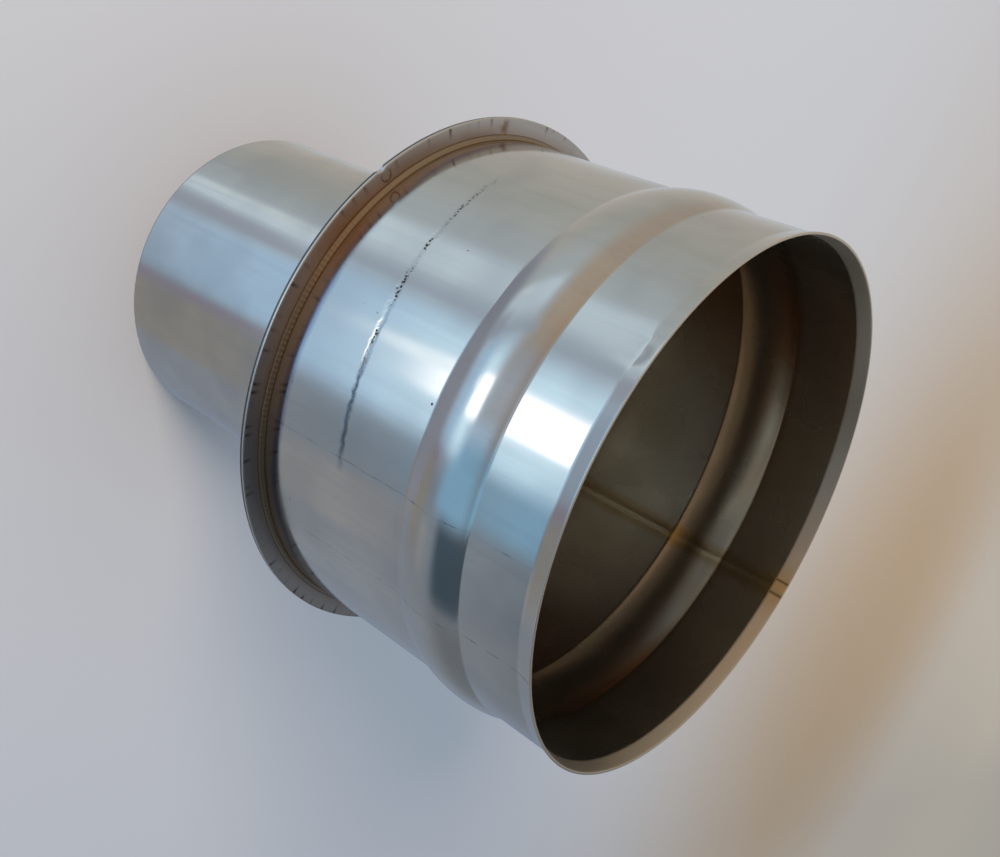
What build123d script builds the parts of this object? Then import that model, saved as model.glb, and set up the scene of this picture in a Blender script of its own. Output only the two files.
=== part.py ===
from build123d import *

import os
from math import degrees

# Flue pipe adapter: a narrow spigot tube and a wide beaded socket tube, butted and welded to the two faces of a
# flat ring. Millimetres, +Z up. It stands on the spigot's cut end with the socket's mouth upwards, and the origin
# is the centre of that cut end. Everything is round about Z except for the low weld seam inside the socket.

# Sheet and plate
sheet = 0.7
plate_thickness = 1.5
plate_edge_break = 0.3

# Spigot tube, from its cut end up to the plate's lower face
spigot_od = 103.0
spigot_length = 101.0

# Flange ring, standing proud of the socket tube
flange_stand_off = 6.0

# Socket tube, from the plate's upper face to the mouth
socket_bore = 150.6
socket_length = 97.0

# Rolled bead round the socket, measured on the inside skin
bead_width = 19.8
bead_height = 1.9
bead_setback = 33.4
bead_crease_round = 1.2

# Flared lip at the mouth, measured on the inside skin
lip_length = 4.2
lip_flare = 1.0

# Weld runs: fillets that bite into the two tubes' feet, and a flat ridge along the socket's closing seam
weld_leg = 1.3
weld_bite = 0.15
seam_width = 2.2
seam_height = 0.2
seam_bearing = 80.0

# Heights and radii that follow from the sizes above
plate_low = spigot_length
plate_top = plate_low + plate_thickness
mouth = plate_top + socket_length
bead_middle = mouth - bead_setback
bead_low = bead_middle - bead_width / 2
bead_high = bead_middle + bead_width / 2
lip_start = mouth - lip_length
spigot_radius = spigot_od / 2
spigot_inner_radius = spigot_radius - sheet
socket_radius = socket_bore / 2
socket_outer_radius = socket_radius + sheet
flange_radius = socket_outer_radius + flange_stand_off

os.makedirs("parts", exist_ok=True)


def weld_section(radius: float, face: float, rise: float) -> Sketch:
    """Section of a fillet weld, as radius and height, in the corner between a tube's wall and a plate's face."""
    with BuildSketch() as section:
        with BuildLine():
            Polyline((radius - weld_bite, face), (radius + weld_leg, face), (radius, face + rise), close=True)
        make_face()
    return section.sketch


spigot_fillet = weld_section(spigot_radius, plate_low, -weld_leg)
socket_fillet = weld_section(socket_outer_radius, plate_top, weld_leg)

# Spigot tube: a plain rolled tube, butted to the plate's lower face
with BuildPart() as spigot_tube:
    with BuildSketch(Plane.XZ):
        with Locations((spigot_inner_radius, 0)):
            Rectangle(sheet, plate_low, align=(Align.MIN, Align.MIN))
        add(spigot_fillet, mode=Mode.SUBTRACT)
    revolve(axis=Axis.Z)
spigot_tube.part.label = "spigot_tube"
export_step(spigot_tube.part, "parts/spigot_tube.step")

# Flange plate: a flat ring with the spigot's bore through it and a sheared rim with its sharp edges broken
with BuildPart() as flange_plate:
    with BuildSketch(Plane.XY.offset(plate_low)):
        Circle(flange_radius)
        Circle(spigot_inner_radius, mode=Mode.SUBTRACT)
    extrude(amount=plate_thickness)
    rim_edges = flange_plate.edges().filter_by(GeomType.CIRCLE).group_by(SortBy.RADIUS)[-1]
    chamfer(rim_edges, length=min(plate_edge_break, plate_thickness / 3))
flange_plate.part.label = "flange_plate"
export_step(flange_plate.part, "parts/flange_plate.step")

# Inside skin of the socket, drawn as radius and height: straight wall, bead, straight wall and flared lip
with BuildLine() as socket_skin:
    Line((socket_radius, plate_top), (socket_radius, bead_low))
    ThreePointArc(
        (socket_radius, bead_low),
        (socket_radius + bead_height, bead_middle),
        (socket_radius, bead_high),
    )
    Line((socket_radius, bead_high), (socket_radius, lip_start))
    Line((socket_radius, lip_start), (socket_radius + lip_flare, mouth))
    bead_creases = socket_skin.vertices().sort_by(Axis.Y)[1:3]
    fillet(bead_creases, radius=bead_crease_round + sheet)

# Upright plane through the axis at one side of the closing seam, so that the seam is centred on its bearing
seam_arc = degrees(seam_width / socket_radius)
seam_outwards = Vector(1, 0, 0).rotate(Axis.Z, seam_bearing - seam_arc / 2)
seam_plane = Plane((0, 0, 0), x_dir=seam_outwards, z_dir=seam_outwards.cross(Vector(0, 0, 1)))

# Socket tube: the sheet lies outside that skin, and the closing seam stands a little proud inside it
with BuildPart() as socket_tube:
    with BuildSketch(Plane.XZ):
        with BuildLine():
            add(socket_skin.line)
            offset(amount=sheet, side=Side.RIGHT)
        make_face()
        add(socket_fillet, mode=Mode.SUBTRACT)
    revolve(axis=Axis.Z)
    with BuildSketch(seam_plane):
        with BuildLine():
            add(offset(socket_skin.line, amount=sheet / 2, side=Side.RIGHT, closed=False, mode=Mode.PRIVATE))
            offset(amount=seam_height + sheet / 2, side=Side.LEFT)
        make_face()
    revolve(axis=Axis.Z, revolution_arc=seam_arc)
    # The seam is trimmed level with the mouth
    split(bisect_by=Plane.XY.offset(mouth), keep=Keep.BOTTOM)
socket_tube.part.label = "socket_tube"
export_step(socket_tube.part, "parts/socket_tube.step")

# Weld between socket and plate, in the corner above the plate
with BuildPart() as socket_weld:
    with BuildSketch(Plane.XZ):
        add(socket_fillet)
    revolve(axis=Axis.Z)
socket_weld.part.label = "socket_weld"
export_step(socket_weld.part, "parts/socket_weld.step")

# Weld between spigot and plate, in the corner below the plate
with BuildPart() as spigot_weld:
    with BuildSketch(Plane.XZ):
        add(spigot_fillet)
    revolve(axis=Axis.Z)
spigot_weld.part.label = "spigot_weld"
export_step(spigot_weld.part, "parts/spigot_weld.step")
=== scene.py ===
"""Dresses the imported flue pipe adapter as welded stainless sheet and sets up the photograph's view of it."""

import logging
import math
from collections.abc import Callable
from dataclasses import dataclass, field
from enum import Enum

import bpy
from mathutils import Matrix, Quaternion, Vector


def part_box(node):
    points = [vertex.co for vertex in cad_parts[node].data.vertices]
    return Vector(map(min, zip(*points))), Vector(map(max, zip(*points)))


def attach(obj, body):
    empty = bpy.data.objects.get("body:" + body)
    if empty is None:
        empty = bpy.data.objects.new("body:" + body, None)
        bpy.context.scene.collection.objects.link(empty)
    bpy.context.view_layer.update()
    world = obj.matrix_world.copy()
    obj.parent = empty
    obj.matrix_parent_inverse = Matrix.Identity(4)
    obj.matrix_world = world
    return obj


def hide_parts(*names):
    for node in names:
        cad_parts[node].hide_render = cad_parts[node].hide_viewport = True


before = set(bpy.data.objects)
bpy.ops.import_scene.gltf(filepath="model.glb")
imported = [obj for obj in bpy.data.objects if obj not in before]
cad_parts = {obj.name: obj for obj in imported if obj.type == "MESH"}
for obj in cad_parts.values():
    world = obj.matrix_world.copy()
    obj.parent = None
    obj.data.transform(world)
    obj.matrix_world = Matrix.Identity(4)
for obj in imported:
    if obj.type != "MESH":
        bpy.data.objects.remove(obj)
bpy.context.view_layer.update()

log = logging.getLogger("flue_adapter")
set_mode = bpy.ops.object.mode_set

MM = 0.001

# Gauge of the rolled sheet, as in the CAD part
SHEET = 0.7 * MM
# The socket's closing seam, as a bearing about the axis from +X
SEAM_BEARING = 80.0
# Radii and heights in millimetres that the finishes are measured from, as in the CAD part
SPIGOT_MM, SOCKET_MM, RIM_MM = 51.5, 76.0, 82.0
PLATE_LOW_MM, PLATE_TOP_MM, MOUTH_MM = 101.0, 102.5, 199.5

# How many flats a full turn of the tubes is spun in, and how many a rounded corner has
TURN_STEPS, ROUND_STEPS = 720, 4
# How far from a corner its support ring lies, and the most that it takes of a short run
SUPPORT, SUPPORT_SHARE = 0.6 * MM, 0.2
# Points that are nearer than this are one
TOUCH = 1e-6
# A face looks at the axis where its normal points this much towards it
INWARDS = -0.5

# Radius and height, and radius, bearing and height
Point = tuple[float, float]
Spot = tuple[float, float, float]
Outline = list[Point]
Colour = tuple[float, float, float, float]
Piece = bpy.types.Object
Socket = bpy.types.NodeSocket
Value = Socket | float | tuple | str
Stops = tuple[tuple[float, str], ...]

# Sockets of a Mix node that is set to colour, and the settings that make it one
MIX_A, MIX_B = 6, 7
COLOUR_MIX = {"out": 2, "data_type": "RGBA"}
# Setting of a Map Range node that eases in and out
EASED = {"interpolation_type": "SMOOTHSTEP"}


def linear(code: str) -> Colour:
    """Turns an sRGB hex colour to linear light.

    Args:
        code: Six hex digits with a leading hash.

    Returns:
        Linear red, green, blue and an alpha of one.
    """
    parts = [int(code[i : i + 2], 16) / 255 for i in (1, 3, 5)]
    light = [c / 12.92 if c <= 0.04045 else ((c + 0.055) / 1.055) ** 2.4 for c in parts]
    return (*light, 1.0)


def select_points(piece: Piece, wanted: Callable[[Vector], bool]) -> None:
    """Leaves the piece in edit mode with only some of its points selected.

    Args:
        piece: Mesh object, which becomes the active one.
        wanted: Test of a point's place.
    """
    bpy.context.view_layer.objects.active = piece
    set_mode(mode="EDIT")
    bpy.ops.mesh.select_mode(type="VERT")
    bpy.ops.mesh.select_all(action="DESELECT")
    set_mode(mode="OBJECT")
    for point in piece.data.vertices:
        point.select = wanted(point.co)
    set_mode(mode="EDIT")


def spun(name: str, outline: Outline, rounds: list[tuple[Point, float]], steps: int = TURN_STEPS) -> Piece:
    """Draws a closed section with extrudes, rounds some corners and screws it once about the axis.

    Args:
        name: Name of the new piece.
        outline: Corners of the section as radius and height, in metres.
        rounds: Corners to round, each with how far the round reaches along its sides.
        steps: Flats in the full turn.

    Returns:
        The new piece, in object mode, smooth shaded and closed.
    """
    bpy.ops.object.select_all(action="DESELECT")
    bpy.ops.mesh.primitive_plane_add(size=MM)
    piece = bpy.context.object
    piece.name = piece.data.name = name
    set_mode(mode="EDIT")
    bpy.ops.mesh.select_mode(type="VERT")
    bpy.ops.mesh.merge(type="CENTER")
    bpy.ops.transform.translate(value=(outline[0][0], 0, outline[0][1]))
    for (r0, z0), (r1, z1) in zip(outline, outline[1:] + outline[:1]):
        bpy.ops.mesh.extrude_region_move(TRANSFORM_OT_translate={"value": (r1 - r0, 0, z1 - z0)})
    bpy.ops.mesh.select_all(action="SELECT")
    bpy.ops.mesh.remove_doubles(threshold=TOUCH)
    for (radius, height), reach in rounds:
        corner = Vector((radius, 0, height))
        select_points(piece, lambda place: (place - corner).length < 2 * TOUCH)
        bpy.ops.mesh.bevel(offset=reach, segments=ROUND_STEPS, affect="VERTICES")
    set_mode(mode="OBJECT")
    turn = piece.modifiers.new("full_turn", "SCREW")
    turn.steps = turn.render_steps = steps
    bpy.ops.object.modifier_apply(modifier=turn.name)
    set_mode(mode="EDIT")
    bpy.ops.mesh.select_all(action="SELECT")
    bpy.ops.mesh.remove_doubles(threshold=TOUCH)
    bpy.ops.mesh.normals_make_consistent(inside=False)
    set_mode(mode="OBJECT")
    bpy.ops.object.shade_smooth()
    return piece


def outwards(bearing: float) -> Vector:
    """Level direction away from the axis at a bearing in degrees."""
    return Vector((math.cos(math.radians(bearing)), math.sin(math.radians(bearing)), 0))


def run(start: Point, end: Point, spacing: float) -> Outline:
    """Points along a straight run, both ends included, with a support ring close to each end.

    Args:
        start: Radius and height where the run starts.
        end: Radius and height where it ends.
        spacing: Greatest distance between points.

    Returns:
        The points in order.
    """
    a, b = Vector(start), Vector(end)
    length = (b - a).length
    support = min(SUPPORT / length, SUPPORT_SHARE)
    count = max(1, math.ceil(length / spacing))
    shares = [support + (1 - 2 * support) * i / count for i in range(1, count)]
    return [tuple(a.lerp(b, share)) for share in (0.0, support, *shares, 1 - support, 1.0)]


def closed(corners: Outline, spacing: float) -> Outline:
    """Points round a closed section with straight sides, no further apart than the spacing."""
    sides = zip(corners, corners[1:] + corners[:1])
    return [point for start, end in sides for point in run(start, end, spacing)[:-1]]


@dataclass
class SpigotTube:
    """The narrow plain tube, from its cut end up to the plate."""

    edge_break: float = 0.12 * MM
    spacing: float = 12 * MM

    def build(self) -> Piece:
        """Makes the tube's mesh and returns it."""
        low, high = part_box("spigot_tube")
        outer = high.x
        inner = outer - SHEET
        corners = [(outer, low.z), (outer, high.z), (inner, high.z), (inner, low.z)]
        rounds = [(corner, self.edge_break) for corner in (corners[0], corners[-1])]
        return spun("spigot_pipe", closed(corners, self.spacing), rounds)


@dataclass
class FlangePlate:
    """The flat ring between the tubes, with a sheared rim and one small nick in it."""

    bore: float = 50.8 * MM
    edge_break: float = 0.3 * MM
    spacing: float = 6 * MM
    nick_bearing: float = -119.3
    nick_width: float = 2.4 * MM
    nick_depth: float = 0.45 * MM

    def build(self) -> Piece:
        """Makes the ring's mesh and returns it."""
        low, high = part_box("flange_plate")
        rim = min(high.x, -low.x, high.y, -low.y)
        corners = [(rim, low.z), (rim, high.z), (self.bore, high.z), (self.bore, low.z)]
        rounds = [(corner, self.edge_break) for corner in corners[:2]]
        ring = spun("flange_ring", closed(corners, self.spacing), rounds)
        middle = outwards(self.nick_bearing) * rim
        # The whole nick goes in by half its depth, and then its middle again
        for share in (1.0, 0.5):
            reach = self.nick_width / 2 * share
            select_points(ring, lambda place: (place.xy - middle.xy).length < reach)
            bpy.ops.transform.translate(value=-outwards(self.nick_bearing) * self.nick_depth / 2)
        set_mode(mode="OBJECT")
        return ring


@dataclass
class SocketTube:
    """The wide tube with a rolled bead, a flared lip and its closing seam inside."""

    bead_width: float = 19.8 * MM
    bead_height: float = 1.9 * MM
    bead_setback: float = 33.4 * MM
    bead_steps: int = 22
    crease_reach: float = 0.45 * MM
    lip_length: float = 4.2 * MM
    lip_flare: float = 1.0 * MM
    lip_reach: float = 0.5 * MM
    edge_break: float = 0.12 * MM
    seam_width: float = 2.2 * MM
    seam_height: float = 0.2 * MM
    # Greatest distance between points below the bead, above it and on the lip
    spacings: tuple[float, float, float] = (8 * MM, 6 * MM, 3 * MM)
    # Bearing and depth of each small dent in the lip's crease
    dents: tuple[tuple[float, float], ...] = ((-107.5, 0.2 * MM), (-126.5, 0.24 * MM))
    dent_reach: float = 3.4 * MM
    foot: float = field(init=False)
    mouth: float = field(init=False)
    bore: float = field(init=False)

    def __post_init__(self) -> None:
        """Reads the heights and the bore from the frame."""
        low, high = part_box("socket_tube")
        self.foot, self.mouth = low.z, high.z
        self.bore = high.x - self.bead_height - SHEET

    def skin(self, depth: float) -> tuple[Outline, Outline]:
        """Draws one skin of the sheet from foot to mouth.

        Args:
            depth: How far outside the inner skin it lies.

        Returns:
            The points from foot to mouth, and the three creases among them.
        """
        wall = self.bore + depth
        sweep = (self.bead_width**2 / 4 + self.bead_height**2) / (2 * self.bead_height)
        centre = Vector((self.bore + self.bead_height - sweep, self.mouth - self.bead_setback))
        radius = sweep + depth
        half_angle = math.acos((wall - centre.x) / radius)
        angles = [half_angle * (2 * i / self.bead_steps - 1) for i in range(self.bead_steps + 1)]
        bead = [(centre.x + radius * math.cos(a), centre.y + radius * math.sin(a)) for a in angles]
        slope = math.atan2(self.lip_flare, self.lip_length)
        crease = (wall, self.mouth - self.lip_length - depth * math.tan(slope / 2))
        edge = (wall + (self.mouth - crease[1]) * math.tan(slope), self.mouth)
        below, above, lip = self.spacings
        points = run((wall, self.foot), bead[0], below)[:-1] + bead
        points += run(bead[-1], crease, above)[1:-1] + run(crease, edge, lip)
        return points, [bead[0], bead[-1], crease]

    def build(self) -> Piece:
        """Makes the tube's mesh, with the seam raised on its inner skin, and returns it."""
        outer, outer_creases = self.skin(SHEET)
        inner, inner_creases = self.skin(0.0)
        rounds = [(place, self.crease_reach) for place in outer_creases[:2] + inner_creases[:2]]
        rounds += [(place, self.lip_reach) for place in (outer_creases[2], inner_creases[2])]
        rounds += [(place, self.edge_break) for place in (outer[-1], inner[-1])]
        tube = spun("socket_pipe", outer + inner[::-1], rounds)
        self.raise_seam(tube)
        self.dent_lip(tube)
        return tube

    def raise_seam(self, tube: Piece) -> None:
        """Pushes a strip of the inner skin towards the axis, higher along its middle.

        Args:
            tube: The spun tube.
        """
        inwards = -outwards(SEAM_BEARING)
        across = Vector((-inwards.y, inwards.x, 0))
        inner, _ = self.skin(0.0)

        def on_strip(place: Vector, half_width: float) -> bool:
            """Whether a point is on the inner skin and within the strip."""
            if place.dot(inwards) > 0 or abs(place.dot(across)) > half_width:
                return False
            nearest = min(inner, key=lambda p: abs(p[1] - place.z))
            return place.xy.length < nearest[0] + SHEET / 2

        for share in (1.0, 0.55):
            select_points(tube, lambda place: on_strip(place, self.seam_width / 2 * share))
            bpy.ops.transform.translate(value=inwards * self.seam_height / 2)
        set_mode(mode="OBJECT")

    def dent_lip(self, tube: Piece) -> None:
        """Pushes the lip's crease in a little at each dent, with the steel round it following.

        Args:
            tube: The spun tube.
        """
        crease = Vector((0, 0, self.mouth - self.lip_length))
        for bearing, depth in self.dents:
            middle = outwards(bearing) * (self.bore + SHEET / 2) + crease
            select_points(tube, lambda place: (place - middle).length < 2 * SHEET)
            bpy.ops.transform.translate(
                value=-outwards(bearing) * depth,
                use_proportional_edit=True,
                proportional_edit_falloff="SMOOTH",
                proportional_size=self.dent_reach,
            )
        set_mode(mode="OBJECT")


class Side(Enum):
    """Which face of the plate a weld run lies on."""

    ABOVE = 1
    BELOW = -1


@dataclass
class WeldRun:
    """A rippled fillet weld in the corner between a tube and the plate."""

    node: str
    piece: str
    side: Side
    leg: float = 1.3 * MM
    bite: float = 0.15 * MM
    crown: float = 0.15 * MM
    crown_steps: int = 6
    ripple: float = 0.06 * MM
    ripple_pitch: float = 1.5 * MM
    steps_per_ripple: int = 4
    # Share of each ripple that is swollen, and where in it that starts
    swollen_share: float = 0.45
    swollen_shift: float = 0.1

    def build(self) -> Piece:
        """Spins the run's crowned section, swells every ripple and returns the piece."""
        low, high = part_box(self.node)
        up = self.side.value
        face = low.z if self.side is Side.ABOVE else high.z
        wall = high.x - self.leg
        section = [(wall - self.bite, face - up * self.bite)]
        for step in range(self.crown_steps + 1):
            share = step / self.crown_steps
            bulge = self.crown * math.sin(math.pi * share) * math.sqrt(0.5)
            section.append((wall + self.leg * (1 - share) + bulge, face + up * (self.leg * share + bulge)))
        count = round(math.tau * wall / self.ripple_pitch)
        ring = spun(self.piece, section, [], steps=count * self.steps_per_ripple)
        pitch = math.tau / count
        core = Vector(section[0])

        def swollen(place: Vector) -> bool:
            """Whether a point is on the run's face and in the swollen share of a ripple."""
            off_core = (Vector((place.xy.length, place.z)) - core).length > self.leg / 4
            phase = math.atan2(place.y, place.x) / pitch + self.swollen_shift
            return off_core and phase % 1 < self.swollen_share

        select_points(ring, swollen)
        bpy.ops.transform.shrink_fatten(value=self.ripple)
        set_mode(mode="OBJECT")
        return ring


@dataclass
class Nodes:
    """The shader nodes of a material or a world, which start out empty."""

    owner: bpy.types.Material | bpy.types.World
    tree: bpy.types.NodeTree = field(init=False)

    def __post_init__(self) -> None:
        """Turns the owner's nodes on and removes those that it starts with."""
        self.owner.use_nodes = True
        self.tree = self.owner.node_tree
        self.tree.nodes.clear()

    def add(
        self,
        kind: str,
        inputs: dict[int | str, Value] | None = None,
        out: int | str = 0,
        stops: Stops = (),
        **settings: object,
    ) -> Socket | None:
        """Adds a shader node with its settings, values and links.

        Args:
            kind: Node type without its ShaderNode prefix.
            inputs: Input names or numbers, each with a value or the output socket that feeds it.
            out: Name or number of the output that is wanted.
            stops: Positions and hex colours of a colour ramp.
            settings: Properties of the node itself.

        Returns:
            The wanted output socket, or None for a node that has none.
        """
        node = self.tree.nodes.new("ShaderNode" + kind)
        for name, value in settings.items():
            setattr(node, name, value)
        for name, value in (inputs or {}).items():
            if isinstance(value, Socket):
                self.tree.links.new(value, node.inputs[name])
            else:
                node.inputs[name].default_value = value
        if stops:
            marks = node.color_ramp.elements
            while len(marks) < len(stops):
                marks.new(1.0)
            for mark, (spot, code) in zip(marks, stops):
                mark.position = spot
                mark.color = linear(code)
        return node.outputs[out] if node.outputs else None

    def apart(self, value: Value, line: Value) -> Socket:
        """Adds how far a value is from a line, to either side of it."""
        off = self.add("Math", {0: value, 1: line}, operation="SUBTRACT")
        return self.add("Math", {0: off}, operation="ABSOLUTE")

    def overlap(self, first: Socket, *others: Socket) -> Socket:
        """Adds the share that several masks have in common.

        Args:
            first: One of the masks.
            others: The rest of them.

        Returns:
            Their product.
        """
        for mask in others:
            first = self.add("Math", {0: first, 1: mask}, operation="MULTIPLY")
        return first


class Coat(Nodes):
    """A metal's finish in the making: where its points are, in millimetres and degrees, and its layers so far."""

    point: Socket
    height: Socket
    bearing: Socket
    radius: Socket
    colour: Socket
    rough: Socket
    # How far the surface stands up, in millimetres
    relief: Socket

    def __post_init__(self) -> None:
        """Adds the nodes that read a point's place from Object coordinates."""
        super().__post_init__()
        metres = self.add("TexCoord", out="Object")
        self.point = self.add("VectorMath", {0: metres, "Scale": 1 / MM}, operation="SCALE")
        parts = self.add("SeparateXYZ", {0: self.point}).node.outputs
        self.height = parts["Z"]
        turn = self.add("Math", {0: parts["Y"], 1: parts["X"]}, operation="ARCTAN2")
        self.bearing = self.add("Math", {0: turn}, operation="DEGREES")
        level = self.add("CombineXYZ", {0: parts["X"], 1: parts["Y"]})
        self.radius = self.add("VectorMath", {0: level}, "Value", operation="LENGTH")

    def drawn_out(self, share: float) -> Socket:
        """Adds the place with its height cut to a share, which draws a pattern out along the axis."""
        return self.add("VectorMath", {0: self.point, 1: (1, 1, share)}, operation="MULTIPLY")

    def gap(self, radius_mm: float, bearing: float, height_mm: float) -> Socket:
        """Adds the distance from a spot that is given by radius, bearing and height."""
        spot = (*outwards(bearing).xy * radius_mm, height_mm)
        return self.add("VectorMath", {0: self.point, 1: spot}, "Value", operation="DISTANCE")

    def browned(self) -> Socket:
        """Adds how strongly, from nought to one, the welding heat browned the steel at each bearing."""
        lap = self.add("MapRange", {"Value": self.bearing, "From Min": -180.0, "From Max": 180.0})
        return self.add("ValToRGB", {0: lap}, stops=BROWNING)

    def mark(self, mask: Socket, shade: str, rougher: float, raised_mm: float = 0.0) -> None:
        """Lays a mark over the layers where its mask is one.

        Args:
            mask: Share of the mark at each point.
            shade: Hex colour of the mark.
            rougher: How much it adds to the roughness.
            raised_mm: How far it stands up.
        """
        over = {"Factor": mask, MIX_A: self.colour, MIX_B: linear(shade)}
        self.colour = self.add("Mix", over, **COLOUR_MIX)
        self.rough = self.add("Math", {0: mask, 1: rougher, 2: self.rough}, operation="MULTIPLY_ADD")
        self.relief = self.add("Math", {0: mask, 1: raised_mm, 2: self.relief}, operation="MULTIPLY_ADD")

    def tint(self, distance: Value, stops: Stops, strength: Value = 1.0) -> None:
        """Multiplies the colour by tints that follow a distance.

        Args:
            distance: Distance as a share of the tint's reach.
            stops: Tints from the nearest to the furthest.
            strength: Share of the tint at each point.
        """
        tint = self.add("ValToRGB", {0: distance}, stops=stops)
        over = {"Factor": strength, MIX_A: self.colour, MIX_B: tint}
        self.colour = self.add("Mix", over, blend_type="MULTIPLY", **COLOUR_MIX)


@dataclass(frozen=True)
class Finish:
    """A metal's surface, named for the metal and how its surface was made."""

    name: str

    def lay(self, coat: Coat) -> None:
        """Lays the finish's layers on a coat."""
        raise NotImplementedError

    def material(self) -> bpy.types.Material:
        """Makes a metal from the finish's layers and returns it."""
        coat = Coat(bpy.data.materials.new(self.name))
        self.lay(coat)
        bump = coat.add("Bump", {"Height": coat.relief, "Distance": MM, "Strength": 1.0})
        sockets = {"Base Color": coat.colour, "Metallic": 1.0, "Roughness": coat.rough, "Normal": bump}
        coat.add("OutputMaterial", {"Surface": coat.add("BsdfPrincipled", sockets)})
        return coat.owner


# Tints that welding heat leaves on stainless steel, from the weld outwards: straw, bronze, purple, blue and clear
HEAT_TINTS = (
    (0.0, "#FCF6EA"), (0.3, "#F6ECDE"), (0.5, "#ECDFD6"), (0.62, "#C8BAC8"),
    (0.72, "#A6A8CA"), (0.86, "#D4DCEC"), (1.0, "#FFFFFF"),
)
# The same along the thin closing seam, which was welded faster and cooler
SEAM_TINTS = ((0.0, "#FFF8E8"), (0.35, "#E8D6B8"), (0.7, "#F2E9DA"), (1.0, "#FFFFFF"))
# Painted shade: the inner skin is darker towards the plate and in a band in the bead's hollow
DEPTH_PAINTED_SHADE = (
    (0.0, "#CFC8BC"), (0.25, "#DED8CE"), (0.49, "#FFFFFF"), (0.67, "#FFFFFF"),
    (0.71, "#E4DBCB"), (0.735, "#E4DBCB"), (0.76, "#FFFFFF"), (1.0, "#FFFFFF"),
)
# How strongly the heat browned the steel round the plate, from -180 to 180 degrees
BROWNING = (
    (0.0, "#8C8C8C"), (0.06, "#969696"), (0.12, "#D0D0D0"), (0.16, "#F4F4F4"),
    (0.215, "#E0E0E0"), (0.25, "#5C5C5C"), (0.3, "#404040"), (0.4, "#303030"),
    (0.55, "#A0A0A0"), (0.7, "#E0E0E0"), (0.85, "#707070"), (1.0, "#8C8C8C"),
)


@dataclass(frozen=True)
class RolledSteel(Finish):
    """Stainless steel sheet, cold rolled: a soft mirror with faint lines along the axis and slow waves."""

    steel: str = "#CBC5BC"
    smudge: str = "#BDB8B1"
    smudge_pitch_mm: float = 24.0
    roughness: float = 0.105
    smudge_roughness: float = 0.06
    # Drawn coarser than the real lines so that they show
    line_pitch_mm: float = 0.9
    line_depth_mm: float = 0.0016
    streak_pitch_mm: float = 2.2
    speck_pitch_mm: float = 9.0
    wave_pitch_mm: float = 38.0
    wave_depth_mm: float = 0.12
    weld_height_mm: float = PLATE_TOP_MM
    weld_side: Side = Side.ABOVE
    tint_reach_mm: float = 8.0
    # How far the tints stray from an even line, as a share of their reach
    stray: float = 0.09
    stray_pitch_mm: float = 22.0
    seam_radius_mm: float = 75.3
    seam_reach_mm: float = 4.5

    def lay(self, coat: Coat) -> None:
        """Lays the plain sheet with its rolling lines and slow waves, its wear and its heat tints.

        Args:
            coat: The coat that gets them.
        """
        add = coat.add
        cloud = add("TexNoise", {"Vector": coat.point, "Scale": 1 / self.smudge_pitch_mm, "Detail": 2.0})
        smear = add("MapRange", {"Value": cloud, "From Min": 0.34, "From Max": 0.74}, **EASED)
        blend = {"Factor": smear, MIX_A: linear(self.steel), MIX_B: linear(self.smudge)}
        coat.colour = add("Mix", blend, **COLOUR_MIX)
        rough = {0: smear, 1: self.smudge_roughness, 2: self.roughness}
        coat.rough = add("Math", rough, operation="MULTIPLY_ADD")
        rolled = {"Vector": coat.drawn_out(0.02), "Scale": 1 / self.line_pitch_mm, "Detail": 3.0}
        lines = add("Math", {0: add("TexNoise", rolled), 1: self.line_depth_mm}, operation="MULTIPLY")
        slow = {"Vector": coat.drawn_out(0.5), "Scale": 1 / self.wave_pitch_mm, "Detail": 2.5}
        waves = {0: add("TexNoise", slow), 1: self.wave_depth_mm, 2: lines}
        coat.relief = add("Math", waves, operation="MULTIPLY_ADD")
        self.wear(coat)
        self.heat(coat)

    def wear(self, coat: Coat) -> None:
        """Draws fine streaks along the axis and a few stray specks.

        Args:
            coat: The coat that gets the marks.
        """
        add = coat.add
        rubbed = {"Vector": coat.drawn_out(0.03), "Scale": 1 / self.streak_pitch_mm, "Detail": 4.0}
        noise = add("TexNoise", rubbed)
        streaks = add("MapRange", {"Value": noise, "From Min": 0.48, "From Max": 0.74, "To Max": 0.45})
        coat.mark(streaks, self.smudge, 0.1)
        cells = add("TexVoronoi", {"Vector": coat.point, "Scale": 1 / self.speck_pitch_mm}, "Distance")
        specks = add("MapRange", {"Value": cells, "From Min": 0.04, "From Max": 0.02, "To Max": 0.6})
        coat.mark(specks, "#55585C", 0.2, -0.005)

    def heat(self, coat: Coat) -> None:
        """Tints the sheet beside the weld to the plate and along the closing seam.

        Args:
            coat: The coat that gets the tints.
        """
        add = coat.add
        wander = add("TexNoise", {"Vector": coat.point, "Scale": 1 / self.stray_pitch_mm, "Detail": 1.0})
        reach = {"To Min": -self.stray, "To Max": self.stray}
        stray = add("MapRange", {"Value": wander, "From Min": 0.25, "From Max": 0.75, **reach})
        rise = add("Math", {0: coat.height, 1: self.weld_height_mm}, operation="SUBTRACT")
        per_mm = self.weld_side.value / self.tint_reach_mm
        from_weld = add("Math", {0: rise, 1: per_mm, 2: stray}, operation="MULTIPLY_ADD")
        strength = add("MapRange", {"Value": coat.browned(), "To Min": 1.0, "To Max": 0.65})
        coat.tint(from_weld, HEAT_TINTS, strength)
        per_degree = math.radians(self.seam_radius_mm) / self.seam_reach_mm
        swing = coat.apart(coat.bearing, SEAM_BEARING)
        from_seam = add("Math", {0: swing, 1: per_degree, 2: stray}, operation="MULTIPLY_ADD")
        coat.tint(from_seam, SEAM_TINTS)


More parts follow.
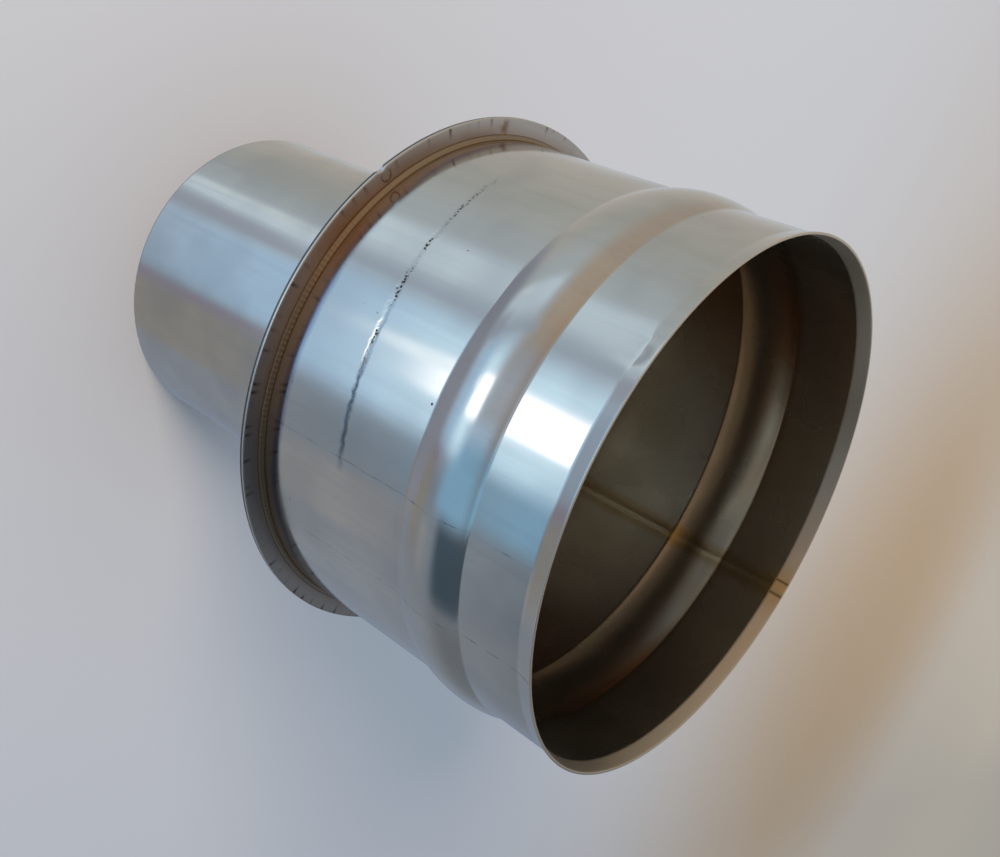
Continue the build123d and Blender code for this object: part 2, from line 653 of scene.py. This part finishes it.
@dataclass(frozen=True)
class SocketOutside(RolledSteel):
    """The socket's outer skin: bright sheet with a pitted rolling line, two long scratches and a ground edge with
    a painted highlight.
    """

    # Bearings and heights of the pitted line's two ends
    pit_start: float = -136.0
    pit_end: float = -64.0
    pit_start_mm: float = 125.2
    pit_end_mm: float = 132.8
    groove_half_mm: float = 1.3
    groove_depth_mm: float = 0.05
    jag_mm: float = 2.2
    jag_pitch_mm: float = 2.4
    pit_size_mm: float = 0.8
    pit_gap_mm: float = 6.0
    # Bearing of each long scratch, and how far it drifts over the socket's length
    scratches: tuple[tuple[float, float], ...] = ((-66.6, -1.3), (-45.2, -1.6))
    scratch_half_mm: float = 0.28
    scratch_foot_mm: float = 103.0
    wander_mm: float = 1.2
    wander_pitch_mm: float = 2.5
    break_pitch_mm: float = 4.0
    # Radius, bearing and height of one large dark speck
    speck: Spot = (SOCKET_MM, -84.5, 154.7)

    def lay(self, coat: Coat) -> None:
        """Lays the sheet and then each mark on it.

        Args:
            coat: The coat that gets them.
        """
        super().lay(coat)
        self.pit_line(coat)
        self.long_scratches(coat)
        dot = coat.add("MapRange", {"Value": coat.gap(*self.speck), "From Min": 0.45, "From Max": 0.2})
        coat.mark(dot, "#3A3C40", 0.3, -0.02)
        # Painted highlight: the ground mouth edge is rougher and painted a light cream along its rim
        ground = {"Value": coat.height, "From Min": MOUTH_MM - 0.12, "From Max": MOUTH_MM - 0.04}
        coat.mark(coat.add("MapRange", ground), "#F0E8D8", 0.3)

    def pit_line(self, coat: Coat) -> None:
        """Draws the shallow groove with its jagged dark core and pits.

        Args:
            coat: The coat that gets the marks.
        """
        add = coat.add
        ends = {"Value": coat.bearing, "From Min": self.pit_start, "From Max": self.pit_end}
        low, high = (end - self.jag_mm / 2 for end in (self.pit_start_mm, self.pit_end_mm))
        line = add("MapRange", {**ends, "To Min": low, "To Max": high})
        jag = add("TexNoise", {"Vector": coat.point, "Scale": 1 / self.jag_pitch_mm, "Detail": 3.0})
        jagged = add("Math", {0: jag, 1: self.jag_mm, 2: line}, operation="MULTIPLY_ADD")
        away = coat.apart(coat.height, jagged)
        fade_in = add("MapRange", {**ends, "From Max": self.pit_start + 20})
        fade_out = add("MapRange", {**ends, "From Min": self.pit_end, "From Max": self.pit_end - 6})
        fade = coat.overlap(fade_in, fade_out)
        near = {"Value": away, "From Min": self.groove_half_mm, "From Max": 0.1}
        groove = coat.overlap(add("MapRange", near, **EASED), fade)
        # The groove is dull where the pits end, and bright where they are
        dulls = {"Value": coat.bearing, "From Min": -90.0, "From Max": -82.0, "To Min": 0.15, "To Max": 0.95}
        coat.mark(coat.overlap(groove, add("MapRange", dulls)), "#6E7379", 0.12)
        # There it is shallower too, with fewer pits
        turns = {"Value": coat.bearing, "From Min": -92.0, "From Max": -84.0}
        depths = {"To Min": -self.groove_depth_mm, "To Max": -0.2 * self.groove_depth_mm}
        depth = add("MapRange", {**turns, **depths})
        coat.relief = add("Math", {0: groove, 1: depth, 2: coat.relief}, operation="MULTIPLY_ADD")
        fewer = add("MapRange", {**turns, "To Min": 1.0, "To Max": 0.3})
        core = add("MapRange", {"Value": away, "From Min": 0.75, "From Max": 0.25})
        cells = add("TexVoronoi", {"Vector": coat.point, "Scale": 1 / self.pit_size_mm}, "Distance")
        spots = add("MapRange", {"Value": cells, "From Min": 0.55, "From Max": 0.4})
        sparse = add("TexNoise", {"Vector": coat.point, "Scale": 1 / self.pit_gap_mm, "Detail": 1.0})
        kept = add("MapRange", {"Value": sparse, "From Min": 0.36, "From Max": 0.5})
        coat.mark(coat.overlap(spots, core, kept, fade, fewer), "#262524", 0.3, -0.04)

    def long_scratches(self, coat: Coat) -> None:
        """Draws the thin broken scratches that run the length of the socket.

        Args:
            coat: The coat that gets the marks.
        """
        add = coat.add
        strays = {"Vector": coat.drawn_out(0.25), "Scale": 1 / self.wander_pitch_mm, "Detail": 3.0}
        wander = add("TexNoise", strays)
        noise = add("TexNoise", {"Vector": coat.point, "Scale": 1 / self.break_pitch_mm, "Detail": 3.0})
        breaks = {"Value": noise, "From Min": 0.46, "From Max": 0.7, "To Min": 0.06, "To Max": 0.75}
        broken = add("MapRange", breaks)
        length = {"Value": coat.height, "From Min": self.scratch_foot_mm, "From Max": MOUTH_MM}
        for bearing, drift in self.scratches:
            line = add("MapRange", {**length, "To Min": bearing, "To Max": bearing + drift})
            swing = add("Math", {0: coat.bearing, 1: line}, operation="SUBTRACT")
            arc = add("Math", {0: swing, 1: math.radians(SOCKET_MM)}, operation="MULTIPLY")
            off = add("Math", {0: wander, 1: self.wander_mm, 2: arc}, operation="MULTIPLY_ADD")
            away = coat.apart(off, self.wander_mm / 2)
            scratch = add("MapRange", {"Value": away, "From Min": self.scratch_half_mm, "From Max": 0.05})
            coat.mark(coat.overlap(scratch, broken), "#4C5054", 0.2, -0.01)


@dataclass(frozen=True)
class SocketInside(RolledSteel):
    """The socket's inner skin: duller and warmer, with painted shade deep inside, a ground lip painted lighter
    and burnt spots on the seam.
    """

    # Height where the painted shade inside is darkest
    foot_mm: float = 112.0
    lip_height_mm: float = 195.3
    # Bearing, height and reach of each burnt spot, and the radius that they lie at
    burns: tuple[tuple[float, float, float], ...] = ((80.5, 197.4, 11.0), (80.2, 157.5, 5.5))
    burn_radius_mm: float = 75.6
    # How far the two lines across the lip are from the burnt spot there
    line_off_mm: float = 2.3

    def lay(self, coat: Coat) -> None:
        """Lays the sheet, then the painted shade inside, the lip with its painted light and the burnt spots.

        Args:
            coat: The coat that gets them.
        """
        super().lay(coat)
        add = coat.add
        # Painted shade, darker deeper inside and in the bead's hollow
        painted_shade_depth = {"Value": coat.height, "From Min": self.foot_mm, "From Max": MOUTH_MM}
        coat.tint(add("MapRange", painted_shade_depth), DEPTH_PAINTED_SHADE)
        # Painted light: the ground lip is rougher, and its colour is painted lighter and warmer for the light
        # that it catches
        crease = {"From Min": self.lip_height_mm - 0.2, "From Max": self.lip_height_mm + 0.2}
        lip = add("MapRange", {"Value": coat.height, **crease})
        coat.mark(lip, "#D8CDB8", 0.16)
        for bearing, height, reach in self.burns:
            gap = coat.gap(self.burn_radius_mm, bearing, height)
            burnt = add("MapRange", {"Value": gap, "From Min": reach, "From Max": 0.5, "To Max": 0.7})
            coat.mark(burnt, "#D0AE62", 0.05)
        # Two lines cross the lip, one on each side of the seam
        swing = coat.apart(coat.bearing, self.burns[0][0])
        arc = add("Math", {0: swing, 1: math.radians(SOCKET_MM)}, operation="MULTIPLY")
        off = coat.apart(arc, self.line_off_mm)
        lines = add("MapRange", {"Value": off, "From Min": 0.65, "From Max": 0.1, "To Max": 0.6})
        coat.mark(coat.overlap(lines, lip), "#4A371E", 0.2, -0.05)

    def wear(self, coat: Coat) -> None:
        """Leaves out the streaks and specks, since nothing rubs the inside."""


@dataclass(frozen=True)
class TintedPlate(Finish):
    """Stainless plate browned by welding heat, with dark shear ticks near its clean rim."""

    steel: str = "#CFC9C0"
    brown: str = "#AD9580"
    dulled: str = "#D2D5D9"
    tick: str = "#5A4E42"
    sheared: str = "#5E5B56"
    roughness: float = 0.27
    patch_pitch_mm: float = 30.0
    patch_depth_mm: float = 0.12
    tick_pitch_mm: float = 6.0
    tick_gap_mm: float = 11.0
    # Radius, bearing and height of a brown spot and of the loop beside the nick
    spot: Spot = (79.4, -153.0, PLATE_TOP_MM)
    loop: Spot = (79.8, -119.6, PLATE_TOP_MM)
    loop_radius_mm: float = 2.4
    wobble_pitch_mm: float = 1.8

    def lay(self, coat: Coat) -> None:
        """Lays the browned face, its marks and the rim.

        Args:
            coat: The coat that gets them.
        """
        add = coat.add
        cloud = add("TexNoise", {"Vector": coat.point, "Scale": 1 / self.patch_pitch_mm, "Detail": 4.0})
        patch = add("MapRange", {"Value": cloud, "From Min": 0.35, "From Max": 0.6, "To Max": 0.35})
        hot = add("Math", {0: coat.browned(), 1: patch}, operation="SUBTRACT", use_clamp=True)
        # The brown is strongest beside the weld and fades to the rim
        fades = {"Value": coat.radius, "From Min": 77.0, "From Max": 83.0, "To Min": 0.4, "To Max": -0.6}
        hot = add("Math", {0: hot, 1: add("MapRange", fades)}, operation="ADD", use_clamp=True)
        blend = {"Factor": hot, MIX_A: linear(self.dulled), MIX_B: linear(self.brown)}
        coat.colour = add("Mix", blend, **COLOUR_MIX)
        coat.rough = add("Math", {0: patch, 1: 0.15, 2: self.roughness}, operation="MULTIPLY_ADD")
        coat.relief = add("Math", {0: cloud, 1: self.patch_depth_mm}, operation="MULTIPLY")
        per_degree = math.radians(RIM_MM) / self.tick_pitch_mm
        arc = add("Math", {0: coat.bearing, 1: per_degree}, operation="MULTIPLY")
        along = {"W": arc, "Scale": 1.0, "Randomness": 0.8}
        cells = add("TexVoronoi", along, "Distance", voronoi_dimensions="1D")
        ticks = add("MapRange", {"Value": cells, "From Min": 0.13, "From Max": 0.02, "To Max": 0.9})
        outer = add("MapRange", {"Value": coat.radius, "From Min": RIM_MM - 3.6, "From Max": RIM_MM - 0.6})
        fine = add("TexNoise", {"Vector": coat.point, "Scale": 1 / self.tick_gap_mm, "Detail": 2.0})
        some = add("MapRange", {"Value": fine, "From Min": 0.42, "From Max": 0.6})
        coat.mark(coat.overlap(ticks, outer, some), self.tick, 0.1, -0.03)
        self.stains(coat)
        rim = add("MapRange", {"Value": coat.radius, "From Min": RIM_MM - 0.35, "From Max": RIM_MM - 0.1})
        coat.mark(rim, self.steel, 0.0)
        below = {"Value": coat.height, "From Min": PLATE_TOP_MM - 0.5, "From Max": PLATE_TOP_MM - 0.8}
        coat.mark(coat.overlap(rim, add("MapRange", below)), self.sheared, 0.12)

    def stains(self, coat: Coat) -> None:
        """Draws a brown spot and the small loop of a slipped tool beside the nick.

        Args:
            coat: The coat that gets the marks.
        """
        add = coat.add
        wobble = add("TexNoise", {"Vector": coat.point, "Scale": 1 / self.wobble_pitch_mm})
        ragged = add("Math", {0: wobble, 1: 3.0, 2: coat.gap(*self.spot)}, operation="MULTIPLY_ADD")
        stain = add("MapRange", {"Value": ragged, "From Min": 3.8, "From Max": 1.8, "To Max": 0.9})
        coat.mark(stain, "#8F6C57", 0.1)
        bent = add("Math", {0: wobble, 1: 1.6, 2: coat.gap(*self.loop)}, operation="MULTIPLY_ADD")
        off = coat.apart(bent, self.loop_radius_mm)
        ring = add("MapRange", {"Value": off, "From Min": 0.45, "From Max": 0.1, "To Max": 0.75})
        lower = add("MapRange", {"Value": coat.radius, "From Min": 81.0, "From Max": 80.2})
        coat.mark(coat.overlap(ring, lower), "#6A4F38", 0.1, -0.02)


@dataclass(frozen=True)
class WeldMetal(Finish):
    """Stainless weld bead left as laid: a pale straw ridge between toes that the heat browned."""

    wall_mm: float
    face_mm: float
    side: Side
    straw: str = "#A4957E"
    grey: str = "#8C887F"
    toe: str = "#A08C72"
    # The least that the weld's uneven roughness comes to, and how much more it can be
    roughness: float = 0.18
    unevenness: float = 0.2
    cloud_pitch_mm: float = 9.0
    grit_pitch_mm: float = 0.8
    grit_depth_mm: float = 0.03

    def lay(self, coat: Coat) -> None:
        """Lays the ridge, the toes and the grit.

        Args:
            coat: The coat that gets them.
        """
        add = coat.add
        grit = add("TexNoise", {"Vector": coat.point, "Scale": 1 / self.grit_pitch_mm, "Detail": 2.0})
        cloud = add("TexNoise", {"Vector": coat.point, "Scale": 1 / self.cloud_pitch_mm, "Detail": 4.0})
        blend = {"Factor": coat.browned(), MIX_A: linear(self.grey), MIX_B: linear(self.straw)}
        coat.colour = add("Mix", blend, **COLOUR_MIX)
        coat.rough = add("Math", {0: cloud, 1: self.unevenness, 2: self.roughness}, operation="MULTIPLY_ADD")
        coat.relief = add("Math", {0: grit, 1: self.grit_depth_mm}, operation="MULTIPLY")
        rise = add("Math", {0: coat.height, 1: self.face_mm}, operation="SUBTRACT")
        lean = add("Math", {0: rise, 1: self.side.value}, operation="MULTIPLY")
        out = add("Math", {0: coat.radius, 1: self.wall_mm}, operation="SUBTRACT")
        toes = add("MapRange", {"Value": coat.apart(lean, out), "From Min": 0.3, "From Max": 0.8})
        coat.mark(toes, self.toe, 0.05)


@dataclass(frozen=True)
class Glow:
    """A soft-edged patch of the room, coloured as bright steel shows it, with its angles in degrees."""

    what: str
    bearing: float
    rise: float
    half_width: float
    half_height: float
    soft: float
    shade: str
    gain: float = 1.0


# The room round the table as the steel mirrors it. Bearings run from the camera's side, + towards +X
ROOM_WALLS = (
    (0.0, "#868A8E"), (0.06, "#9C9C9A"), (0.13, "#9A9388"), (0.25, "#95968F"), (0.45, "#9FB0BC"),
    (0.62, "#727B84"), (0.8, "#7C8085"), (0.94, "#686F78"), (1.0, "#868A8E"),
)
ROOM_CEILING = (
    (0.0, "#6C645D"), (0.06, "#8C8276"), (0.3, "#93826F"), (0.4, "#98775C"),
    (0.5, "#766250"), (0.68, "#3E3C3A"), (0.95, "#4A4846"), (1.0, "#6C645D"),
)
ROOM = (
    Glow("table top", 0, -80, 190, 24, 5, "#7C7F87"),
    Glow("timber on the left", -70, -4, 62, 16, 9, "#978B7C"),
    Glow("wall beside the window", -2, 0, 20, 18, 7, "#93999F"),
    Glow("window's side", 15, -12, 6, 14, 4, "#9CB0C2"),
    Glow("sky on the right", 33, -10, 16, 24, 6, "#769CB4"),
    Glow("doorway", 68, -8, 18, 18, 5, "#3C4952"),
    Glow("wall on the right", 112, -12, 24, 14, 10, "#64686B"),
    Glow("curtain", -46, -40, 9, 16, 4, "#B2C0C8"),
    Glow("light on the table", 2, -44, 25, 9, 6, "#96B1C8"),
    Glow("edge of the table", 35, -52, 4, 5, 2, "#7C717C"),
    Glow("boards in the light", 72, -40, 14, 4, 4, "#868686"),
    Glow("boards beyond", 62, -52, 23, 6, 4, "#7E7B75"),
    Glow("lamp on the left", -52, -49, 3, 5, 1.5, "#BCC8CA"),
    Glow("light round the window", 2, -33.5, 23, 7, 7, "#C3DFED"),
    Glow("window frame", -30, -36, 2, 22, 1.2, "#8E98A2"),
    Glow("foot of the frame", -33, -53, 7, 6, 3, "#8C929C"),
    Glow("window", 1, -31, 8.5, 7, 2, "#FFFFFF", 1.5),
    Glow("window's foot", -4, -39, 2.5, 3, 1.2, "#E2F0F6"),
)

# Painted warm light: colours of the floor from the object to its far end, warming with distance
FLOOR_PAINTED_WARM_LIGHT = ((0.0, "#CBCACA"), (0.16, "#CECBC9"), (0.42, "#CDBDA9"), (1.0, "#E4CEB2"))
# Painted shade and a painted warm glow: the floor turns cooler and darker to the right, and warmer round one spot
# behind the object
FLOOR_PAINTED_SHADE = ((0.0, "#FFFFFF"), (1.0, "#E6EAEF"))
FLOOR_PAINTED_WARM_GLOW = ((0.0, "#FFFFFF"), (1.0, "#F4E2CC"))


@dataclass
class Studio:
    """Pale floor, soft lamp and the room that the steel mirrors."""

    floor_half: float = 6.0
    floor_depth: float = 2.5
    # Centre of the painted warm glow on the floor, in metres
    painted_glow_spot: tuple[float, float, float] = (0.05, 1.05, 0)
    lamp_way: Vector = field(default_factory=lambda: Vector((-0.50, -0.77, 0.44)))
    lamp_aim: Vector = field(default_factory=lambda: Vector((0, 0, 0.12)))
    lamp_distance: float = 3.0
    lamp_size: float = 1.5
    lamp_watts: float = 92.0
    lamp_shade: str = "#FFEAD6"
    sky_shade: str = "#D2E2F4"
    sky_level: float = 0.87
    backdrop: str = "#CAC8C5"
    steel: Colour = field(default_factory=lambda: linear(RolledSteel.steel))

    def build(self) -> None:
        """Makes the floor, the lamp and the world."""
        self.floor()
        self.lamp()
        self.world()

    def floor(self) -> None:
        """Lays a pale floor with painted warm light that grows with distance, painted shade to one side and a
        painted warm glow behind the object, and that the steel doesn't mirror.
        """
        bpy.ops.object.select_all(action="DESELECT")
        bpy.ops.mesh.primitive_plane_add(size=2 * self.floor_half)
        floor = bpy.context.object
        floor.name = "floor"
        floor.visible_glossy = False
        # Uncoated paper scatters light evenly, so it has no sheen
        material = bpy.data.materials.new("Matt paper, uncoated")
        add = Nodes(material).add
        metres = add("TexCoord", out="Object")
        parts = add("SeparateXYZ", {0: metres}).node.outputs
        # Painted warm light on the floor, growing with distance from the object
        far = add("MapRange", {"Value": parts["Y"], "From Min": 0.0, "From Max": self.floor_depth})
        colour = add("ValToRGB", {0: far}, stops=FLOOR_PAINTED_WARM_LIGHT)
        # Painted shade: the floor turns cooler and darker towards +X
        painted_shade_share = add("MapRange", {"Value": parts["X"], "From Min": -0.05, "From Max": 0.3})
        # Painted warm glow round one spot behind the object
        gap = add("VectorMath", {0: metres, 1: self.painted_glow_spot}, "Value", operation="DISTANCE")
        near = add("MapRange", {"Value": gap, "From Min": 0.6, "From Max": 0.1}, **EASED)
        for share, stops in ((painted_shade_share, FLOOR_PAINTED_SHADE), (near, FLOOR_PAINTED_WARM_GLOW)):
            layer = add("ValToRGB", {0: share}, stops=stops)
            over = {"Factor": 1.0, MIX_A: colour, MIX_B: layer}
            colour = add("Mix", over, blend_type="MULTIPLY", **COLOUR_MIX)
        sockets = {"Base Color": colour, "Roughness": 0.9, "Specular IOR Level": 0.1}
        add("OutputMaterial", {"Surface": add("BsdfPrincipled", sockets)})
        floor.data.materials.append(material)

    def lamp(self) -> None:
        """Hangs one large soft lamp, out of the steel's sight."""
        location = self.lamp_aim + self.lamp_way.normalized() * self.lamp_distance
        bpy.ops.object.light_add(type="AREA", location=location)
        lamp = bpy.context.object
        lamp.name = "soft_lamp"
        lamp.rotation_mode = "QUATERNION"
        lamp.rotation_quaternion = (-self.lamp_way).to_track_quat("-Z", "Y")
        lamp.data.shape = "DISK"
        lamp.data.size = self.lamp_size
        lamp.data.energy = self.lamp_watts
        lamp.data.color = linear(self.lamp_shade)[:3]
        lamp.visible_glossy = False

    def mirrored(self, shade: str, gain: float = 1.0) -> Colour:
        """Light that bright steel turns into a shade, or into one that is brighter by a gain."""
        light = [gain * c / s for c, s in zip(linear(shade)[:3], self.steel)]
        return (*light, 1.0)

    def world(self) -> None:
        """Builds the world: pale to the camera, plain to matt surfaces and a room to the steel."""
        world = bpy.data.worlds.new("room")
        bpy.context.scene.world = world
        nodes = Nodes(world)
        add = nodes.add
        room = self.room(nodes)
        path = add("LightPath").node.outputs
        plain = (*(c * self.sky_level for c in linear(self.sky_shade)[:3]), 1.0)
        matt = {"Factor": path["Is Glossy Ray"], MIX_A: plain, MIX_B: room}
        shown = add("Mix", matt, **COLOUR_MIX)
        seen = {"Factor": path["Is Camera Ray"], MIX_A: shown, MIX_B: linear(self.backdrop)}
        shown = add("Mix", seen, **COLOUR_MIX)
        add("OutputWorld", {"Surface": add("Background", {"Color": shown, "Strength": 1.0})})

    def room(self, nodes: Nodes) -> Socket:
        """Paints walls, patches and ceiling by direction.

        Args:
            nodes: The world's nodes.

        Returns:
            Colour of the room in each direction.
        """
        add = nodes.add
        way = add("TexCoord", out="Generated")
        parts = add("SeparateXYZ", {0: way}).node.outputs
        front = add("Math", {0: parts["Y"], 1: -1.0}, operation="MULTIPLY")
        turn = add("Math", {0: parts["X"], 1: front}, operation="ARCTAN2")
        bearing = add("Math", {0: turn}, operation="DEGREES")
        tilt = add("Math", {0: parts["Z"]}, operation="ARCSINE")
        rise = add("Math", {0: tilt}, operation="DEGREES")
        lap = add("MapRange", {"Value": bearing, "From Min": -180.0, "From Max": 180.0})
        around = []
        for stops in (ROOM_WALLS, ROOM_CEILING):
            shades = add("ValToRGB", {0: lap}, stops=stops)
            over = {"Factor": 1.0, MIX_A: shades, MIX_B: self.mirrored("#FFFFFF")}
            around.append(add("Mix", over, blend_type="MULTIPLY", **COLOUR_MIX))
        colour, ceiling = around
        for glow in ROOM:
            edges = []
            spans = (bearing, glow.bearing, glow.half_width), (rise, glow.rise, glow.half_height)
            for value, middle, half in spans:
                off = nodes.apart(value, middle)
                span = {"Value": off, "From Min": half + glow.soft, "From Max": half - glow.soft}
                edges.append(add("MapRange", span, **EASED))
            light = self.mirrored(glow.shade, glow.gain)
            over = {"Factor": nodes.overlap(*edges), MIX_A: colour, MIX_B: light}
            colour = add("Mix", over, label=glow.what, **COLOUR_MIX)
        above = add("MapRange", {"Value": rise, "From Min": -4.0, "From Max": 18.0})
        return add("Mix", {"Factor": above, MIX_A: colour, MIX_B: ceiling}, **COLOUR_MIX)


@dataclass
class PhotoCamera:
    """The photograph's viewpoint, fitted to the tubes' outlines."""

    location: Vector = field(default_factory=lambda: Vector((0, -274.32, 308.92)) * MM)
    aim: Vector = field(default_factory=lambda: Vector((6.83, 0, 123.44)) * MM)
    roll: float = 117.7
    lens: float = 39.402
    sensor: float = 36.0
    clip: tuple[float, float] = (0.01, 50.0)

    def build(self) -> None:
        """Places the camera and makes it the scene's."""
        bpy.ops.object.camera_add(location=self.location)
        camera = bpy.context.object
        camera.name = "photo_camera"
        camera.rotation_mode = "QUATERNION"
        level = (self.aim - self.location).to_track_quat("-Z", "Y")
        camera.rotation_quaternion = level @ Quaternion((0, 0, 1), math.radians(self.roll))
        camera.data.sensor_width = self.sensor
        camera.data.lens = self.lens
        camera.data.clip_start, camera.data.clip_end = self.clip
        bpy.context.scene.camera = camera


def dress(piece: Piece, node: str, slot: str, *finishes: bpy.types.Material) -> None:
    """Gives a piece its finishes and has it stand for a CAD node.

    Args:
        piece: The modelled piece.
        node: CAD node that it stands for.
        slot: Material slot of the record; not used.
        finishes: The finish outside and, where it differs, the one on faces that look at the axis.
    """
    piece.data.materials.clear()
    for finish in finishes:
        piece.data.materials.append(finish)
    for face in piece.data.polygons:
        inner = face.normal.xy.dot(face.center.xy.normalized()) < INWARDS
        face.material_index = len(finishes) - 1 if inner else 0
    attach(piece, "root")
    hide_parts(node)
    log.info("%s stands for %s with %d faces", piece.name, node, len(piece.data.polygons))


def main() -> None:
    """Builds every piece, then the stage, and reports them."""
    logging.basicConfig(level=logging.INFO, format="%(message)s")
    # Satin sheet mirrors the room softly, with its patches run together
    below = {"weld_height_mm": PLATE_LOW_MM, "weld_side": Side.BELOW, "seam_radius_mm": SPIGOT_MM}
    satin = RolledSteel("Stainless steel, satin rolled sheet", roughness=0.125, **below).material()
    # Bright sheet shows the window as a clear highlight
    bright = SocketOutside("Stainless steel, bright rolled sheet").material()
    # The dull side spreads what it mirrors, so that the inside looks dark and even
    dull_look = {"steel": "#CABFAB", "smudge": "#BBB09C", "roughness": 0.24}
    dull = SocketInside("Stainless steel, dull side of rolled sheet", **dull_look).material()
    # Heat leaves the plate brown and grey in patches, with a blurred sheen
    plate = TintedPlate("Stainless steel plate, heat tinted").material()
    # Weld metal glints on its ripples and is brown at its toes
    above_weld = WeldMetal("Stainless weld metal, as laid on the socket", SOCKET_MM, PLATE_TOP_MM, Side.ABOVE)
    below_weld = WeldMetal("Stainless weld metal, as laid on the spigot", SPIGOT_MM, PLATE_LOW_MM, Side.BELOW)
    dress(SpigotTube().build(), "spigot_tube", "satin_steel", satin)
    dress(FlangePlate().build(), "flange_plate", "tinted_steel", plate)
    dress(SocketTube().build(), "socket_tube", "bright_steel", bright, dull)
    welds = (
        (WeldRun("socket_weld", "socket_weld_run", Side.ABOVE), above_weld),
        (WeldRun("spigot_weld", "spigot_weld_run", Side.BELOW), below_weld),
    )
    for weld, laid in welds:
        dress(weld.build(), weld.node, "weld_metal", laid.material())
    Studio().build()
    PhotoCamera().build()
    bpy.context.scene.view_settings.view_transform = "Standard"


if __name__ == "__main__":
    main()
